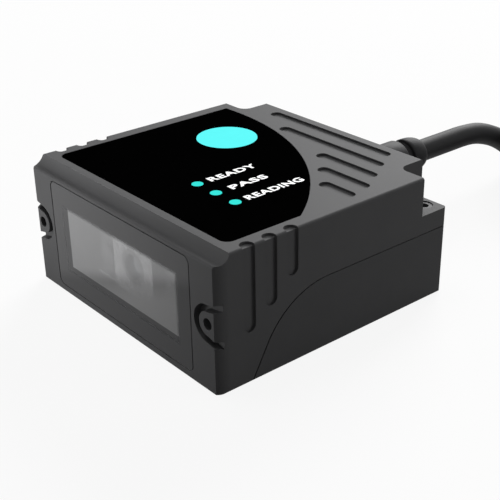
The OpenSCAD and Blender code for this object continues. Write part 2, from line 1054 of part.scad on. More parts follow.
module strain_relief() {
    collar = relief_l - relief_collar_l;
    ring = (collar - relief_groove_l) / 2;
    steps = 10;
    round_l = relief_collar_l - 1.2;
    collar_line = [
        for (i = [0:steps])
            let (a = 90 * i / steps)
                [cable_r + (relief_collar_r - cable_r) * cos(a), relief_l - round_l * (1 - sin(a))],
    ];
    profile = concat(
        [
            [0, -wall - relief_flange_t], [relief_flange_r, -wall - relief_flange_t],
            [relief_flange_r, -wall], [relief_neck_r, -wall], [relief_neck_r, 0],
            [relief_r, 0], [relief_r, ring - relief_groove_l / 2],
            [relief_groove_r, ring - relief_groove_l / 2],
            [relief_groove_r, ring + relief_groove_l / 2],
            [relief_ring_r, ring + relief_groove_l / 2], [relief_ring_r, collar - relief_groove_l],
            [relief_groove_r, collar - relief_groove_l], [relief_groove_r, collar],
            [relief_collar_r, collar],
        ],
        collar_line,
        [[0, relief_l]]
    );
    color("#262627")
        translate([0, rear_y, cable_z])
            rotate([-90, 0, 0])
                rotate_extrude()
                    polygon(profile);
}

// Route of the cable from the boot to its coil, and of its free end from the coil to the plug
cable_route = [
    [0, 58, 16], [0, 62, 16], [0, 66, 16], [0, 70, 16], [0, 74, 16], [0, 77, 15.8], [0, 80, 15.4],
    [0, 83, 14.6], [0, 86, 13.5], [0, 89, 12.1], [0, 92, 10.4], [0, 95, 8.4], [0, 98, 6.7],
    [0, 101, 5.3], [0, 104, 4.2], [0, 107, 3.4], [0, 110, 2.95], [0, 113, 2.8],
];
tail_route = [
    [22.5, 97.5, 14], [20.4, 100.2, 14.1], [18.8, 103.2, 14.4], [17.6, 106.4, 14.9],
    [16.9, 109.7, 15.5], [16.8, 113, 16.2], [17.1, 116.3, 16.9], [17.8, 119.6, 17.7],
    [19.1, 122.6, 18.4], [20.9, 125.5, 19.2], [23, 128, 19.8], [25.5, 130.2, 20.4],
    [28.4, 131.9, 20.8], [31.5, 133.2, 21], [34.7, 133.9, 21.1], [38, 134.2, 21.1],
];
cable_sides = 10;

// One closed tube that follows a route
module tube(route, r, first, last) {
    n = len(route);
    along = [
        for (i = [0:n - 1])
            i == 0 ? first : i == n - 1 ? last : unit(route[i + 1] - route[i - 1])
    ];
    rings = [
        for (i = [0:n - 1])
            let (
                t = along[i],
                side = unit(cross(t, [0, 0, 1])),
                up = cross(side, t)
            )
                for (k = [0:cable_sides - 1])
                    let (a = 360 * k / cable_sides)
                        route[i] + r * (cos(a) * side + sin(a) * up)
    ];
    walls = [
        for (i = [0:n - 2], k = [0:cable_sides - 1])
            let (
                a = i * cable_sides + k,
                b = i * cable_sides + (k + 1) % cable_sides
            )
                [a, a + cable_sides, b + cable_sides, b]
    ];
    ends = [
        [for (k = [0:cable_sides - 1]) k],
        [for (k = [cable_sides - 1:-1:0]) (n - 1) * cable_sides + k],
    ];
    polyhedron(rings, concat(walls, ends));
}

function unit(v) = v / norm(v);

module cable() {
    color("#262627")
        tube(cable_route, cable_r, [0, 1, 0], [0, 1, 0]);
}

module cable_tail() {
    color("#262627")
        tube(tail_route, cable_r, unit([-1, 1, 0]), [1, 0, 0]);
}

// Coil of the spare cable: three layers of three turns
coil_at = [38, 113];
coil_pitch = 5.6;
coil_turns = 3;
coil_layers = 3;
coil_out = coil_at[0];
coil_in = coil_out - coil_pitch * coil_turns;
coil_h = coil_pitch * coil_layers;
tie_angle = 14;
tie_at = 320;
tie_t = 0.8;
tie_sink = 0.6;
tie_slack = 0.02;

module coil_section(grow, low) {
    translate([coil_in - coil_pitch / 2 - grow, low])
        square([coil_out - coil_in + coil_pitch + 2 * grow, coil_h - low + grow]);
}

// The tie lies in a dent under the coil, so that the coil still lies flat
module coil_tie() {
    color("#1d1d1e")
        translate([coil_at[0], coil_at[1], 0])
            rotate(tie_at)
                rotate_extrude(angle = tie_angle)
                    difference() {
                        coil_section(tie_t, 0);
                        coil_section(tie_slack, tie_sink);
                    }
}

// Room for the cable where it joins the lowest turn, and for its free end to climb off the top
module coil_cuts() {
    reach = cable_r + 0.3;
    translate([-far, coil_at[1] - far, -1])
        cube([far + reach, far, coil_h + 2]);
    translate([coil_at[0], coil_at[1], coil_h - coil_pitch])
        rotate(90)
            rotate_extrude(angle = 135)
                translate([coil_in - coil_pitch, 0])
                    square([2.6 * coil_pitch, far]);
}

module cable_coil() {
    color("#262627")
        difference() {
            translate([coil_at[0], coil_at[1], 0])
                rotate_extrude($fn = 96)
                    coil_section(0, 0);
            coil_cuts();
            translate([coil_at[0], coil_at[1], -1])
                rotate(tie_at)
                    rotate_extrude(angle = tie_angle)
                        translate([coil_in - coil_pitch, 0])
                            square([coil_out - coil_in + 2 * coil_pitch, 1 + tie_sink]);
        }
}

// Plug on the free end: a tapered boot, a body, a metal shell and its tongue
plug_at = tail_route[len(tail_route) - 1];
plug_boot_l = 9;
plug_boot_r = 3.9;
plug_l = 18;
plug_w = 15.4;
plug_h = 8.4;
shell_l = 12;
shell_w = 12;
shell_h = 4.5;
shell_t = 0.35;
tongue_plate = 1.9;

// An outline drawn in Y and Z, carried along X from one place to another on the plug
module along_plug(from, to) {
    translate([plug_at[0] + from, plug_at[1], plug_at[2]])
        rotate([90, 0, 90])
            linear_extrude(to - from)
                children();
}

module plug_block(w, h, r) {
    translate([0, -h / 2])
        round_rect(w, h, r);
}

module plug_body() {
    color("#1f1f20") {
        translate(plug_at)
            rotate([0, 90, 0])
                cylinder(r1 = cable_r + 0.6, r2 = plug_boot_r, h = plug_boot_l + eps);
        along_plug(plug_boot_l, plug_boot_l + plug_l)
            plug_block(plug_w, plug_h, 2.4);
    }
}

module plug_shell() {
    from = plug_boot_l + plug_l;
    color("#c9cbce")
        difference() {
            along_plug(from, from + shell_l)
                plug_block(shell_w, shell_h, 0.6);
            along_plug(from - 1, from + shell_l + 1)
                plug_block(shell_w - 2 * shell_t, shell_h - 2 * shell_t, 0.3);
        }
}

module plug_tongue() {
    from = plug_boot_l + plug_l;
    inner = shell_h - 2 * shell_t;
    color("#e8e8e6")
        along_plug(from, from + shell_l - 0.8)
            translate([0, inner / 2 - tongue_plate / 2])
                square([shell_w - 2 * shell_t - 2 * fit, tongue_plate - 2 * fit], center = true);
}

top_cover();
base();
window_frame();
window_pane();
window_gasket();
overlay_film();
disc_diffuser();
light_guide();
cover_screws();
base_inserts();
engine_chassis();
lens_barrel();
lens_element();
sensor_board();
illuminators();
engine_bracket();
bracket_screws();
engine_flex();
main_board();
shield_can();
memory_chip();
buzzer();
flex_socket();
cable_socket();
board_screws();
indicator_board();
indicator_lamps();
indicator_screws();
indicator_ribbon();
wires();
strain_relief();
cable();
cable_coil();
cable_tail();
coil_tie();
plug_body();
plug_shell();
plug_tongue();
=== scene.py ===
"""Dresses the fixed barcode reader: its finishes, soft edges, printed words, cable, studio and camera."""

import json
import math

import bmesh
import bpy
from mathutils import Matrix, Vector


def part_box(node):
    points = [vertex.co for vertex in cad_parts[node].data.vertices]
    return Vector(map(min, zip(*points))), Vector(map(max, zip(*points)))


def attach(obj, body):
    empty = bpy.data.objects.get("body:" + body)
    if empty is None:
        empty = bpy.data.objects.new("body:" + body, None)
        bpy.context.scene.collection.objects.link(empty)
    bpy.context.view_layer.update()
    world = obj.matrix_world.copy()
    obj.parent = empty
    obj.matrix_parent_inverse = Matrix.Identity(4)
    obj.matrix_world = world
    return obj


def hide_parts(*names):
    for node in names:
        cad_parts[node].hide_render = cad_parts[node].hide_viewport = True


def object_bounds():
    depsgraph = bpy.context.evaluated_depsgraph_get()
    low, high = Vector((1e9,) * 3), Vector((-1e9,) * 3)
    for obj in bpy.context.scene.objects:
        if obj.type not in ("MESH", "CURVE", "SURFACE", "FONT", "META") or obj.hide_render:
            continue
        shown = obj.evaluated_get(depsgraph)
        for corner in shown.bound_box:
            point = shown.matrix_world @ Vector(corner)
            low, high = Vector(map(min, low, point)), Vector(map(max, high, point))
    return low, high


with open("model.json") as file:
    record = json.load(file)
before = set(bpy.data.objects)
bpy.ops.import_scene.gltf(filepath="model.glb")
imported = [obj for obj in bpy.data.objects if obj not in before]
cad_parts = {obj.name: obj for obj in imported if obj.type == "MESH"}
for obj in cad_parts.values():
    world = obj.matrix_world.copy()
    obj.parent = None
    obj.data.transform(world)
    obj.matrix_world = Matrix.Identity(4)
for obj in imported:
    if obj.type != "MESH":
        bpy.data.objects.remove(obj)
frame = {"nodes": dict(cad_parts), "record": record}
cad_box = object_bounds()

MM = 0.001
BODY = "root"
nodes = frame["nodes"]
scene = bpy.context.scene


def mm(*values):
    """A point given in millimetres, as the frame's metres."""
    return Vector(values) * MM


def facing(at, aim):
    """The place of a camera or lamp that stands at one point and looks at another."""
    return Matrix.Translation(at) @ (aim - at).to_track_quat("-Z", "Y").to_matrix().to_4x4()


# Camera: where it stands, what it looks at, how far it is tipped, its lens and film, and its nearest view
CAMERA_AT = mm(156.51, -125.33, 108.34)
CAMERA_AIM = mm(18.47, -11.57, 18.88)
CAMERA_TIP = math.radians(-0.97)
CAMERA_LENS = 73.83
CAMERA_FILM = 36
CAMERA_NEAR = 10 * MM


def make_camera():
    """The camera, at the photograph's viewing angle."""
    camera = bpy.data.objects.new("camera", bpy.data.cameras.new("camera"))
    camera.data.lens = CAMERA_LENS
    camera.data.sensor_width = CAMERA_FILM
    camera.data.clip_start = CAMERA_NEAR
    camera.matrix_world = facing(CAMERA_AT, CAMERA_AIM) @ Matrix.Rotation(CAMERA_TIP, 4, "Z")
    scene.collection.objects.link(camera)
    scene.camera = camera


make_camera()


class Field:
    """A shader socket that can be added, multiplied and compared in plain sums."""

    def __init__(self, finish, socket):
        self.finish = finish
        self.socket = socket

    def __add__(self, other):
        return self.finish.calc("ADD", self, other)

    def __radd__(self, other):
        return self.finish.calc("ADD", other, self)

    def __sub__(self, other):
        return self.finish.calc("SUBTRACT", self, other)

    def __rsub__(self, other):
        return self.finish.calc("SUBTRACT", other, self)

    def __mul__(self, other):
        return self.finish.calc("MULTIPLY", self, other)

    def __rmul__(self, other):
        return self.finish.calc("MULTIPLY", other, self)

    def __abs__(self):
        return self.finish.calc("ABSOLUTE", self)

    def __gt__(self, other):
        return self.finish.calc("GREATER_THAN", self, other)

    def __lt__(self, other):
        return self.finish.calc("LESS_THAN", self, other)


class Finish:
    """The nodes of a material, or of the world, under construction."""

    def __init__(self, owner):
        self.owner = owner
        owner.use_nodes = True
        self.tree = owner.node_tree
        self.tree.nodes.clear()

    def node(self, kind, settings=None, inputs=None, output=0):
        """Adds a node, sets it up, feeds its sockets and gives one of its outputs back."""
        made = self.tree.nodes.new(kind)
        for name, value in (settings or {}).items():
            setattr(made, name, value)
        for name, value in (inputs or {}).items():
            if isinstance(value, Field):
                self.tree.links.new(value.socket, made.inputs[name])
            else:
                made.inputs[name].default_value = value
        return Field(self, made.outputs[output]) if made.outputs else None

    def calc(self, operation, first, second=0.0):
        """One operation on one or two values."""
        return self.node("ShaderNodeMath", {"operation": operation}, {0: first, 1: second})

    def place(self):
        """Where a point lies on the object, in metres."""
        return self.node("ShaderNodeTexCoord", output="Object")

    def axis(self, letter, place=None):
        """One coordinate of a place, which is the point's own unless another is given."""
        return self.node("ShaderNodeSeparateXYZ", inputs={0: place or self.place()}, output=letter)

    def grain(self, size, detail=2.0, rough=0.5):
        """Soft random spots of about that size in metres, from 0 to 1."""
        inputs = {"Vector": self.place(), "Scale": 1 / size, "Detail": detail, "Roughness": rough}
        return self.node("ShaderNodeTexNoise", {}, inputs, "Fac")

    def mix(self, factor, first, second):
        """A colour between two colours."""
        def four(colour):
            return colour if isinstance(colour, Field) else (*colour, 1)

        settings = {"data_type": "RGBA", "blend_type": "MIX"}
        return self.node("ShaderNodeMix", settings, {0: factor, 6: four(first), 7: four(second)}, 2)

    def shades(self, factor, colour, darkest, lightest):
        """A colour between two shades of one colour, which are given as shares of it."""
        dark, light = (tuple(channel * share for channel in colour) for share in (darkest, lightest))
        return self.mix(factor, dark, light)

    def mix_value(self, factor, first, second):
        """A number between two numbers."""
        return self.node("ShaderNodeMix", {"data_type": "FLOAT"}, {0: factor, 2: first, 3: second})

    def fade(self, value, start, end):
        """Rises smoothly from 0 to 1 while a value goes from start to end."""
        settings = {"interpolation_type": "SMOOTHSTEP"}
        return self.node("ShaderNodeMapRange", settings, {0: value, 1: start, 2: end, 3: 0.0, 4: 1.0})

    def bump(self, height, distance, normal=None):
        """A normal that follows a height from 0 to 1, of that depth in metres, on top of any normal given."""
        inputs = {"Height": height, "Distance": distance, "Strength": 1.0}
        if normal:
            inputs["Normal"] = normal
        return self.node("ShaderNodeBump", {}, inputs)

    def surface(self, **sockets):
        """Ends the material in one shader. Socket names are written with _ for a blank."""
        inputs = {name.replace("_", " "): value for name, value in sockets.items()}
        shader = self.node("ShaderNodeBsdfPrincipled", {}, inputs)
        self.node("ShaderNodeOutputMaterial", {}, {"Surface": shader})
        return self.owner


def new_finish(name):
    """A new material, ready for its nodes."""
    return Finish(bpy.data.materials.new(name))


# Moulded surfaces: their grain's size, depth and share in the gloss, and their drift's size, tones and share
GRAIN_SIZE = 0.25 * MM
GRAIN_DEPTH = 0.012 * MM
GRAIN_GLOSS = 0.04
DRIFT_SIZE = 9 * MM
DRIFT_TONES = (0.92, 1.08)
DRIFT_GLOSS = 0.06


def grained(name, colour, rough, **more):
    """Moulded plastic or rubber: a fine grain, and a slight drift in tone and gloss."""
    finish = new_finish(name)
    drift = finish.grain(DRIFT_SIZE, detail=3)
    fine = finish.grain(GRAIN_SIZE, rough=0.6)
    return finish.surface(
        Base_Color=finish.shades(drift, colour, *DRIFT_TONES),
        Roughness=rough + DRIFT_GLOSS * (drift - 0.5) + GRAIN_GLOSS * (fine - 0.5),
        Normal=finish.bump(fine, GRAIN_DEPTH),
        **more,
    )


# Metals: the length of their drag lines, how many times finer they are along X, Y and Z, and then their
# depth, their tones and their share in the gloss
LINE_LENGTH = 4 * MM
LINE_FINENESS = (1, 14, 14)
LINE_DEPTH = 0.004 * MM
LINE_TONES = (0.86, 1.08)
LINE_GLOSS = 0.16


def brushed(name, colour, rough):
    """Plated or drawn metal with faint drag lines."""
    finish = new_finish(name)
    drawn = tuple(fineness / LINE_LENGTH for fineness in LINE_FINENESS)
    along = finish.node("ShaderNodeMapping", {}, {"Vector": finish.place(), "Scale": drawn})
    lines = finish.node("ShaderNodeTexNoise", {}, {"Vector": along, "Scale": 1.0, "Detail": 3.0}, "Fac")
    return finish.surface(
        Base_Color=finish.shades(lines, colour, *LINE_TONES),
        Metallic=1.0,
        Roughness=rough + LINE_GLOSS * (lines - 0.5),
        Normal=finish.bump(lines, LINE_DEPTH),
    )


# Lit marks: the size of their clouds, and the tones that the clouds give to the body and to the glow
CLOUD_SIZE = 2.5 * MM
LIT_BODY = (0.02, 0.03)
LIT_GLOW = (0.97, 1.03)


def lit(name, colour, glow):
    """A lit diffuser: a glow that is even but for faint clouds, on a body that shows little light itself."""
    finish = new_finish(name)
    cloud = finish.grain(CLOUD_SIZE)
    return finish.surface(
        Base_Color=finish.shades(cloud, colour, *LIT_BODY),
        Roughness=0.5 + 0.1 * cloud,
        Emission_Color=finish.shades(cloud, glow, *LIT_GLOW),
        Emission_Strength=1.0,
        Specular_IOR_Level=0.0,
    )


# Circuit boards: the spacing of the tracks, their share of it and their height, the size of the spots in the
# gloss, and the colours of mask and tracks
TRACK_PITCH = 2.4 * MM
TRACK_SHARE = 0.07
TRACK_HEIGHT = 0.02 * MM
MASK_SPOTS = 1.5 * MM
MASK_GREEN = (0.012, 0.085, 0.035)
TRACK_GREEN = (0.03, 0.16, 0.07)


def solder_mask(name):
    """Green circuit board with paler tracks under the mask."""
    finish = new_finish(name)
    settings = {"feature": "DISTANCE_TO_EDGE", "distance": "MANHATTAN"}
    inputs = {"Vector": finish.place(), "Scale": 1 / TRACK_PITCH}
    track = finish.node("ShaderNodeTexVoronoi", settings, inputs, "Distance") < TRACK_SHARE
    return finish.surface(
        Base_Color=finish.mix(track, MASK_GREEN, TRACK_GREEN),
        Roughness=0.32 + 0.08 * finish.grain(MASK_SPOTS),
        Normal=finish.bump(track, TRACK_HEIGHT),
    )


# Tie: the angle at which it lies round the coil, the pitch, depth and tones of its threads, and its fluff
TIE_AT = math.radians(327)
THREAD_PITCH = 0.55 * MM
THREAD_DEPTH = 0.05 * MM
THREAD_LOW = (0.009, 0.009, 0.009)
THREAD_HIGH = (0.022, 0.022, 0.023)
FLUFF_SIZE = 0.9 * MM
FLUFF_DEPTH = 0.04 * MM


def woven(name):
    """Woven strap: threads that cross each other, with a little fluff."""
    finish = new_finish(name)
    laid = finish.node("ShaderNodeMapping", {}, {"Vector": finish.place(), "Rotation": (0, 0, -TIE_AT)})

    def threads(along):
        return finish.calc("SINE", along * (2 * math.pi / THREAD_PITCH))

    round_coil = finish.axis("X", laid) + finish.axis("Z", laid)
    weave = 0.5 + 0.5 * threads(round_coil) * threads(finish.axis("Y", laid))
    fluff = finish.grain(FLUFF_SIZE, detail=3)
    return finish.surface(
        Base_Color=finish.mix(weave, THREAD_LOW, THREAD_HIGH),
        Roughness=0.7 + 0.15 * fluff,
        Normal=finish.bump(weave, THREAD_DEPTH, finish.bump(fluff, FLUFF_DEPTH)),
        Specular_IOR_Level=0.2,
    )


# Window: the opening in the mask, which is centred on the pane
VIEW_W = 39.2 * MM
VIEW_H = 14 * MM
# The print on the pane's face fades in across the opening's edge, from inside it to outside it
RIM_CLEAR = -0.3 * MM
RIM_SOLID = 1.0 * MM
# Tones of the print and of the haze on the pane's back, the size of the haze's drift between its two pale
# tones, and the most that the haze lets through. The deep tones are painted shade.
PRINT_IN_PAINTED_SHADE = (0.06, 0.06, 0.062)
PRINT_PALE = (0.1, 0.1, 0.102)
HAZE_IN_PAINTED_SHADE = (0.235, 0.235, 0.237)
HAZE_PALE = [(0.44, 0.44, 0.445), (0.49, 0.49, 0.495)]
HAZE_DRIFT = 12 * MM
HAZE_THIN = 0.3
# Both are graded along a slant, which is -2 at the opening's lower right corner and 2 at its upper left one.
# The grade is a painted sheen, darker at the lower right and lighter at the upper left. The ranges: where
# they go from the painted shade to pale, and where the haze goes from solid, which hides the view under the
# painted sheen, to its thinnest
PAINTED_SHEEN_SLANT = (-0.5, 0.05)
CLEAR_SLANT = (-1.1, 0.0)


def masked_pane(name):
    """Clear pane with a dark printed rim, and a printed border and a haze on its back, under a painted sheen.
    """
    finish = new_finish(name)
    low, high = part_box("window_pane")
    middle = [(a + b) / 2 for a, b in zip(low, high)]
    back = finish.axis("Y") > middle[1]
    across = finish.axis("X")
    up = finish.axis("Z") - middle[2]
    outside = finish.calc("MAXIMUM", abs(across) - VIEW_W / 2, abs(up) - VIEW_H / 2)
    view = outside < 0
    rim = finish.fade(outside, RIM_CLEAR, RIM_SOLID)
    slant = up * (2 / VIEW_H) - across * (2 / VIEW_W)
    # The painted sheen: 0 at the lower right, where print and haze take their painted shade, and 1 at the
    # upper left
    tone = finish.fade(slant, *PAINTED_SHEEN_SLANT)
    clear = finish.fade(slant, *CLEAR_SLANT)
    drift = finish.grain(HAZE_DRIFT)
    haze = finish.mix(tone, HAZE_IN_PAINTED_SHADE, finish.mix(drift, *HAZE_PALE))
    border = finish.mix(tone, PRINT_IN_PAINTED_SHADE, PRINT_PALE)
    return finish.surface(
        Base_Color=finish.mix(view, border, haze),
        Roughness=0.3 + 0.06 * drift,
        Alpha=finish.mix_value(back, rim, 1 - HAZE_THIN * clear * view),
        Specular_IOR_Level=0.07,
    )


# Film: the size and depth of its orange peel, and its two blacks
PEEL_SIZE = 0.8 * MM
PEEL_DEPTH = 0.002 * MM
FILM_DEEP = (0.0004, 0.0004, 0.0004)
FILM_PALE = (0.0009, 0.0009, 0.0009)


def black_film(name):
    """Printed film: deep black, with a faint orange peel."""
    finish = new_finish(name)
    peel = finish.grain(PEEL_SIZE)
    return finish.surface(
        Base_Color=finish.mix(peel, FILM_DEEP, FILM_PALE),
        Roughness=0.5 + 0.1 * peel,
        Specular_IOR_Level=0.0,
        Normal=finish.bump(peel, PEEL_DEPTH),
    )


# Ink: its colour, the size of its specks, and the tones that they give to its body and to its faint painted
# glow
INK_WHITE = (1, 1, 1)
SPECK_SIZE = 0.3 * MM
INK_BODY = (0.8, 0.9)
INK_PAINTED_GLOW = (0.2, 0.24)


def white_ink(name):
    """White print with a faint painted glow of its own."""
    finish = new_finish(name)
    speck = finish.grain(SPECK_SIZE)
    return finish.surface(
        Base_Color=finish.shades(speck, INK_WHITE, *INK_BODY),
        Roughness=0.5 + 0.1 * speck,
        # Painted glow: the print is no lamp, and this makes it brighter than the lamps light it
        Emission_Color=finish.shades(speck, INK_WHITE, *INK_PAINTED_GLOW),
        Emission_Strength=1.0,
    )


# Moulded, cast and coated surfaces: colour, roughness, and sockets that differ from a plain plastic's
MOULDED = {
    "cover_plastic": ((0.105, 0.105, 0.107), 0.55, {"Specular_IOR_Level": 0.03}),
    "base_plastic": ((0.095, 0.095, 0.097), 0.55, {"Specular_IOR_Level": 0.03}),
    "frame_plastic": ((0.08, 0.08, 0.082), 0.45, {"Specular_IOR_Level": 0.07}),
    "gasket_rubber": ((0.012, 0.012, 0.012), 0.7, {}),
    "black_steel": ((0.09, 0.09, 0.093), 0.5, {"Specular_IOR_Level": 0.05}),
    "engine_metal": ((0.4, 0.4, 0.41), 0.5, {}),
    "barrel_black": ((0.11, 0.11, 0.115), 0.5, {}),
    "lens_glass": ((0.05, 0.06, 0.08), 0.08, {"Coat_Weight": 1.0}),
    "lamp_plastic": ((0.07, 0.07, 0.075), 0.4, {}),
    "ribbon_amber": ((0.4, 0.16, 0.03), 0.3, {}),
    "chip_black": ((0.012, 0.012, 0.012), 0.5, {}),
    "socket_ivory": ((0.65, 0.62, 0.5), 0.5, {}),
    "lamp_chips": ((0.85, 0.8, 0.6), 0.4, {}),
    "wire_skin": ((0.3, 0.1, 0.1), 0.5, {}),
    "boot_rubber": ((0.022, 0.022, 0.023), 0.6, {"Specular_IOR_Level": 0.08}),
    "cable_skin": ((0.024, 0.024, 0.025), 0.6, {"Specular_IOR_Level": 0.1}),
    "plug_plastic": ((0.018, 0.018, 0.019), 0.5, {}),
    "tongue_white": ((0.75, 0.75, 0.73), 0.5, {}),
}
# Bare metals: colour and roughness
METALS = {
    "brass": ((0.72, 0.52, 0.22), 0.35),
    "steel": ((0.6, 0.6, 0.62), 0.3),
    "can_steel": ((0.55, 0.56, 0.57), 0.32),
    "plug_steel": ((0.62, 0.62, 0.63), 0.28),
}
# Lit marks: the colours of their body and of their glow
LIT = {
    "lit_disc": ((0.12, 0.95, 0.95), (0.12, 0.95, 0.95)),
    "lit_dots": ((0.08, 0.75, 0.65), (0.04, 0.79, 0.71)),
}
FINISHES = {
    "pane_tint": masked_pane("pane_tint"),
    "film_black": black_film("film_black"),
    "white_ink": white_ink("white_ink"),
    "board_green": solder_mask("board_green"),
    "tie_nylon": woven("tie_nylon"),
    **{slot: grained(slot, colour, rough, **more) for slot, (colour, rough, more) in MOULDED.items()},
    **{slot: brushed(slot, colour, rough) for slot, (colour, rough) in METALS.items()},
    **{slot: lit(slot, colour, glow) for slot, (colour, glow) in LIT.items()},
}


def coat(piece, slot):
    """Gives a piece its finish."""
    piece.data.materials.clear()
    piece.data.materials.append(FINISHES[slot])


for entry in frame["record"]["subparts"]:
    coat(nodes[entry["node"]], entry["material_slot"])


def finished(name, shape, slot, finish=None):
    """A new piece of the object, riding on its body, in the finish of its slot or in another one."""
    piece = bpy.data.objects.new(name, shape)
    scene.collection.objects.link(piece)
    coat(piece, finish or slot)
    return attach(piece, BODY)


# Cable, in millimetres: straight out of the boot and down to the surface, and last from the coil to the plug
CABLE_D = 5.5
CABLE_ROUTE = [
    (0, 58, 16), (0, 62, 16), (0, 66, 16), (0, 70, 16), (0, 74, 16), (0, 77, 15.8), (0, 80, 15.4),
    (0, 83, 14.6), (0, 86, 13.5), (0, 89, 12.1), (0, 92, 10.4), (0, 95, 8.4), (0, 98, 6.7),
    (0, 101, 5.3), (0, 104, 4.2), (0, 107, 3.4), (0, 110, 2.95), (0, 113, 2.8),
]
TAIL_ROUTE = [
    (22.5, 97.5, 14), (20.4, 100.2, 14.1), (18.8, 103.2, 14.4), (17.6, 106.4, 14.9),
    (16.9, 109.7, 15.5), (16.8, 113, 16.2), (17.1, 116.3, 16.9), (17.8, 119.6, 17.7),
    (19.1, 122.6, 18.4), (20.9, 125.5, 19.2), (23, 128, 19.8), (25.5, 130.2, 20.4),
    (28.4, 131.9, 20.8), (31.5, 133.2, 21), (34.7, 133.9, 21.1), (38, 134.2, 21.1),
]
# Coil, in millimetres: its centre, the spacing of its turns, how many turns and layers it has, the radius of
# its outermost turn, the points of a turn, and the share of the last turn that the tail takes the place of
COIL_AT = (38, 113)
COIL_PITCH = 5.6
COIL_TURNS = 3
COIL_LAYERS = 3
COIL_OUT = 38
COIL_STEPS = 24
TAIL_LEAD = 0.125
# Climb to the next layer: the share of a turn that it takes, and how far it bulges
CLIMB = 0.3
CLIMB_BULGE = 1.0
# Smoothness of the cable, round it and along it
CABLE_ROUND = 5
CABLE_SMOOTH = 3


def ease(t):
    """Goes from 0 to 1 with a soft start and a soft end."""
    return t * t * (3 - 2 * t)


def coil_point(turns):
    """A point on the winding after that many turns: in along one layer, out along the next."""
    layer = min(int(turns / COIL_TURNS), COIL_LAYERS - 1)
    done = turns - layer * COIL_TURNS
    inward = layer % 2 == 0
    radius = COIL_OUT - COIL_PITCH * (done if inward else COIL_TURNS - done)
    level = layer
    climb = (done - COIL_TURNS + CLIMB) / CLIMB
    if climb > 0 and layer < COIL_LAYERS - 1:
        level += ease(climb)
        radius += CLIMB_BULGE * math.sin(math.pi * climb) * (-1 if inward else 1)
    angle = math.pi - 2 * math.pi * turns
    height = COIL_PITCH * (level + 0.5)
    return (COIL_AT[0] + radius * math.cos(angle), COIL_AT[1] + radius * math.sin(angle), height)


def cable_points():
    """The points of the whole cable, from the boot through the coil to the plug."""
    total = COIL_TURNS * COIL_LAYERS - TAIL_LEAD
    winding = [coil_point(i / COIL_STEPS) for i in range(1, round(total * COIL_STEPS))]
    return [mm(*p) for p in CABLE_ROUTE + winding + TAIL_ROUTE]


def make_cable(on_cable):
    """The cable as one round curve. The pieces on it, which it is given, are not used."""
    curve = bpy.data.curves.new("cable_cord", "CURVE")
    curve.dimensions = "3D"
    curve.bevel_depth = CABLE_D / 2 * MM
    curve.bevel_resolution = CABLE_ROUND
    curve.resolution_u = CABLE_SMOOTH
    curve.use_fill_caps = True
    points = cable_points()
    spline = curve.splines.new("BEZIER")
    spline.bezier_points.add(len(points) - 1)
    for knot, at in zip(spline.bezier_points, points):
        knot.co = at
        knot.handle_left_type = "AUTO"
        knot.handle_right_type = "AUTO"
    cable = finished("cable_cord", curve, "cable_skin")
    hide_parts("cable", "cable_coil", "cable_tail")


def to_mesh(shape, name):
    """Ends a shape under construction as a mesh."""
    mesh = bpy.data.meshes.new(name)
    shape.to_mesh(mesh)
    shape.free()
    return mesh


def rounded(shape, edges, width, segments=3):
    """Rounds edges of a shape under construction."""
    bmesh.ops.bevel(
        shape, geom=edges, offset=width, affect="EDGES", segments=segments, profile=0.5, material=-1,
        clamp_overlap=True,
    )


def thicken(piece, thickness, offset):
    """Gives a sheet its wall: outwards from its faces for 1, inwards for -1."""
    wall = piece.modifiers.new("wall", "SOLIDIFY")
    wall.thickness = thickness
    wall.offset = offset
    return piece


# Tie: a strap that runs once round the coil's section and overlaps itself on top. Its path is in millimetres,
# outwards from the coil's centre and upwards. Then its width and thickness, its bends and its round end.
TIE_PATH = [
    (23.2, 16.85), (37.6, 16.85), (38.6, 8.4), (37.6, 0.9), (20.6, 0.9), (20.6, 17.85), (35.2, 17.85),
]
TIE_W = 9 * MM
TIE_T = 0.9 * MM
TIE_BEND = 2.6 * MM
TIE_BEND_STEPS = 5
TIE_END = 3 * MM
TIE_END_STEPS = 4


def make_tie():
    """The strap that holds the coil, drawn as its path, widened, bent and laid round the coil."""
    shape = bmesh.new()
    knots = [shape.verts.new((out * MM, -TIE_W / 2, up * MM)) for out, up in TIE_PATH]
    runs = [shape.edges.new(pair) for pair in zip(knots, knots[1:])]
    drawn = bmesh.ops.extrude_edge_only(shape, edges=runs)["geom"]
    far = [v for v in drawn if isinstance(v, bmesh.types.BMVert)]
    bmesh.ops.translate(shape, verts=far, vec=(0, TIE_W, 0))
    # The wall grows outwards from the faces, and as drawn they look inwards
    bmesh.ops.reverse_faces(shape, faces=shape.faces)
    tail = max(shape.faces, key=lambda face: face.calc_center_median().z)

    def runs_across(edge):
        return abs(edge.verts[0].co.y - edge.verts[1].co.y) > TIE_W / 2

    ends = [edge for edge in tail.edges if edge.is_boundary and runs_across(edge)]
    end = max(ends, key=lambda edge: edge.verts[0].co.x)
    bmesh.ops.bevel(
        shape, geom=list(end.verts), offset=TIE_END, affect="VERTICES", segments=TIE_END_STEPS,
        profile=0.5, material=-1,
    )
    rounded(shape, [edge for edge in shape.edges if len(edge.link_faces) == 2], TIE_BEND, TIE_BEND_STEPS)
    lay = Matrix.Translation(mm(*COIL_AT, 0)) @ Matrix.Rotation(TIE_AT, 4, "Z")
    bmesh.ops.transform(shape, matrix=lay, verts=shape.verts)
    tie = finished("tie_strap", to_mesh(shape, "tie_strap"), "tie_nylon")
    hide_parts("coil_tie")
    return thicken(tie, TIE_T, 1)


# End of the cable, where the plug begins, in millimetres
PLUG_AT = TAIL_ROUTE[-1]
# Plug sleeve: its wall and long edges, and its windows, from its inner end and from its middle
SLEEVE_WALL = 0.35 * MM
SLEEVE_EDGE = 0.6 * MM
HOLE_X = (5.2 * MM, 7.4 * MM)
HOLE_Y = (1.35 * MM, 3.75 * MM)
# A face looks along an axis where its normal has at least this share of it
SQUARE_ON = 0.9


